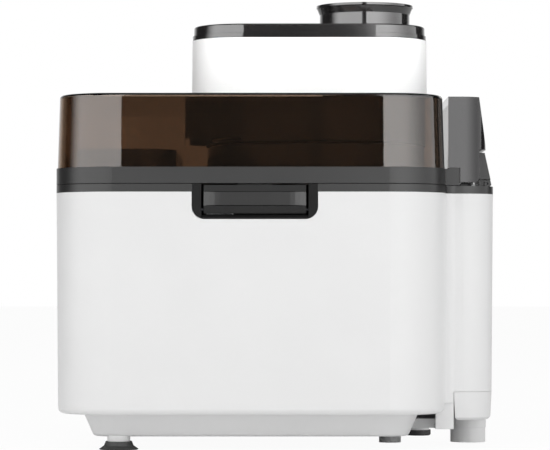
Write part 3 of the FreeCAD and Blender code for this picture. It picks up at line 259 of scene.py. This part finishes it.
def grid_object(name, points, round_rows=False, round_columns=False):
    """A mesh from a grid of points, rows by columns by 3. A round grid joins its last row or column to its first."""
    rows, cols, _ = points.shape
    index = np.arange(rows * cols).reshape(rows, cols)
    if round_columns:
        index = np.concatenate([index, index[:, :1]], axis=1)
    if round_rows:
        index = np.concatenate([index, index[:1]], axis=0)
    quads = np.stack([index[:-1, :-1], index[:-1, 1:], index[1:, 1:], index[1:, :-1]], axis=-1).reshape(-1, 4)
    mesh = bpy.data.meshes.new(name)
    mesh.from_pydata(points.reshape(-1, 3).tolist(), [], quads.tolist())
    made = bpy.data.objects.new(name, mesh)
    scene.collection.objects.link(made)
    return made


def piece(name, points, body, slot, material, **rounds):
    """A grid object as part of the juicer: doubles merged, faces outwards, riding on a body."""
    made = grid_object(name, points, **rounds)
    shape = bmesh.new()
    shape.from_mesh(made.data)
    bmesh.ops.remove_doubles(shape, verts=shape.verts, dist=1e-7)
    bmesh.ops.recalc_face_normals(shape, faces=shape.faces)
    shape.to_mesh(made.data)
    shape.free()
    made.data.materials.append(material)
    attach(made, body)
    return made


# ---- printed marks on the switch ----------------------------------------------------------------------------
switch_low, switch_high = (np.array(corner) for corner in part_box("switch_paddle"))
FACE_RISE = 0.0274
FACE_LEAN = 0.006
slope = np.array([-FACE_LEAN, 0.0, FACE_RISE]) / math.hypot(FACE_LEAN, FACE_RISE)
outward = np.array([slope[2], 0.0, -slope[0]])
face_root = np.array([switch_high[0], 0.0, switch_high[2] - FACE_RISE])
switch_y = (switch_low[1] + switch_high[1]) / 2


def on_switch(along, up, proud):
    """Face coordinates to the frame: metres along Y from the switch's middle, up its sloping face, and out."""
    base = face_root + np.array([0.0, switch_y, 0.0])
    return (base + along[..., None] * np.array([0.0, 1.0, 0.0]) + up[..., None] * slope
            + proud[..., None] * outward)


def stroke(name, centre_line, half_width, round_rows):
    """A printed stroke: a flat four-sided section carried along a line in the face.

    Each section's corners lie half_width to either side of the line, along its normal, at the two heights of the
    print's skin.
    """
    ahead = np.roll(centre_line, -1, axis=0) - np.roll(centre_line, 1, axis=0)
    if not round_rows:
        ahead = np.gradient(centre_line, axis=0)
    normal = np.stack([-ahead[:, 1], ahead[:, 0]], axis=1)
    normal /= np.linalg.norm(normal, axis=1, keepdims=True)
    width = np.full(len(centre_line), half_width)
    if not round_rows:
        width[[0, -1]] = 0.0
    side = np.array([-1.0, 1.0, 1.0, -1.0])
    skin = np.array([-0.02, -0.02, 0.12, 0.12]) / 1000
    across = centre_line[:, None, :] + normal[:, None, :] * (side[None, :] * width[:, None])[..., None]
    proud = np.broadcast_to(skin, across.shape[:2]) * np.where(width > 0, 1.0, 0.5)[:, None]
    points = on_switch(across[..., 0], across[..., 1], proud)
    return piece(name, points, "switch", "white_abs", print_white, round_rows=round_rows, round_columns=True)


turn = np.linspace(0, 2 * math.pi, 48, endpoint=False)
ring_line = np.stack([-0.017 + 0.0032 * np.cos(turn), 0.0135 + 0.0032 * np.sin(turn)], axis=1)
stroke("switch_mark_off", ring_line, 0.00045, True)
rise = np.array([0.0, 0.0001, 0.0004, 0.0060, 0.0063, 0.0064])
bar_line = np.stack([np.full(6, 0.017), 0.0103 + rise], axis=1)
stroke("switch_mark_on", bar_line, 0.00045, False)


def glow(name, seen, lit, full_deg, far_deg, far_share):
    """A lit diffuser: even from its front edge to full_deg, fading to a share at far_deg.

    Glossy surfaces see it at seen; everything else is lit by it at lit.
    """
    s = Shader(name)
    place = s.add("ShaderNodeTexCoord")
    parts = s.add("ShaderNodeSeparateXYZ", {0: place.outputs["Object"]})
    ahead = s.add("ShaderNodeMath", {0: parts.outputs["Y"]}, {1: -1.0}, operation="MULTIPLY")
    azimuth = s.add("ShaderNodeMath", {0: parts.outputs["X"], 1: ahead}, operation="ARCTAN2")
    fade = s.add("ShaderNodeMapRange", {"Value": azimuth},
                 {"From Min": math.radians(full_deg), "From Max": math.radians(far_deg),
                  "To Min": seen, "To Max": far_share * seen}, interpolation_type="SMOOTHSTEP")
    path = s.add("ShaderNodeLightPath")
    power = s.add("ShaderNodeMix", {0: path.outputs["Is Glossy Ray"], 3: fade}, {2: lit})
    return s.surface(s.add("ShaderNodeEmission", {"Strength": power}, {"Color": linear("ffffff")}))


def panel(name, start_deg, end_deg, material):
    """A tall curved diffuser: an arc about the object, from one azimuth off the front to another."""
    angle = np.radians(np.linspace(start_deg, end_deg, 25))
    height = np.array([0.0, PANEL_TOP])
    a, z = np.meshgrid(angle, height)
    points = np.stack([PANEL_RADIUS * np.sin(a), centre_y - PANEL_RADIUS * np.cos(a), z], axis=-1)
    made = grid_object(name, points)
    made.data.materials.append(material)
    return made


panel("diffuser_left", -6.0, -118, glow("diffuser_left", 4.9, PANEL_LIT, -66, -100, 0.0))
panel("diffuser_right", 4.2, 107, glow("diffuser_right", 6.1, PANEL_LIT, 25, 85, 0.35))

flat = np.array([[[-9, -6, 0], [9, -6, 0]], [[-9, 12, 0], [9, 12, 0]]], dtype=float)
floor = grid_object("floor", flat)
s = Shader("pale_sweep")
share = s.add("ShaderNodeMath", {0: s.seen_directly()}, {1: SWEEP_WHITE_SHARE}, operation="MULTIPLY")
paper = s.add("ShaderNodeBsdfDiffuse", None, {"Color": linear("f4f4f4")})
shine = s.add("ShaderNodeEmission", None, {"Color": linear("ffffff"), "Strength": 1.0})
floor.data.materials.append(s.surface(s.add("ShaderNodeMixShader", {0: share, 1: paper, 2: shine})))

s = Shader("studio", bpy.data.worlds, "ShaderNodeOutputWorld")
path = s.add("ShaderNodeLightPath")
place = s.add("ShaderNodeTexCoord")
parts = s.add("ShaderNodeSeparateXYZ", {0: place.outputs["Generated"]})
behind = s.add("ShaderNodeMapRange", {"Value": parts.outputs["Y"]},
               {"From Min": 0.7, "From Max": 0.95, "To Min": 0.03, "To Max": 1.0})
power = s.add("ShaderNodeMix", {0: path.outputs["Is Glossy Ray"], 3: behind}, {2: ROOM_LIGHT})
shown = s.add("ShaderNodeMix", {0: s.seen_directly(), 2: power}, {3: 1.0})
scene.world = s.surface(s.add("ShaderNodeBackground", {"Strength": shown}, {"Color": linear("ffffff")}))


def lamp(name, at, aim, size, power, glossy=True, beam_deg=180):
    """A rectangular softbox aimed at a point, its beam narrowed by a honeycomb below 180 degrees."""
    data = bpy.data.lights.new(name, "AREA")
    data.shape = "RECTANGLE"
    data.size, data.size_y = size
    data.energy = power
    data.spread = math.radians(beam_deg)
    made = bpy.data.objects.new(name, data)
    scene.collection.objects.link(made)
    made.location = at
    step = [b - a for a, b in zip(at, aim)]
    length = math.dist(at, aim)
    pitch = math.acos(-step[2] / length)
    made.rotation_euler = (pitch, 0, math.atan2(step[1], step[0]) - math.pi / 2)
    made.visible_glossy = glossy
    return made


middle = (0.0, centre_y, 0.18)
lamp("top_softbox", (0.0, centre_y - 0.9, 1.9), middle, (1.6, 1.2), 6)
lamp("table_fill", (0.5, centre_y - 2.2, 0.1), middle, (2.4, 0.16), 0.4, False)
hopper = (0.03, centre_y, 0.385)
lamp("hopper_fill", (0.25, centre_y - 1.7, 0.75), hopper, (0.3, 0.06), 0.17, False, 9)
lamp("floor_wash", (0.1, centre_y - 0.45, 0.5), (0.1, centre_y - 0.75, 0.0), (1.5, 0.3), 1.2, False)

camera_data = bpy.data.cameras.new("camera")
camera_data.sensor_width = 36
camera_data.lens = 176.7
camera_data.clip_end = 60
camera = bpy.data.objects.new("camera", camera_data)
scene.collection.objects.link(camera)
shell_low, shell_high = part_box("lid_shell")
camera.location = (-0.001, shell_low[1] - 2.214, 0.141)
camera.rotation_euler = (math.radians(90 + 1.167), 0, 0)
scene.camera = camera
scene.view_settings.view_transform = "Standard"
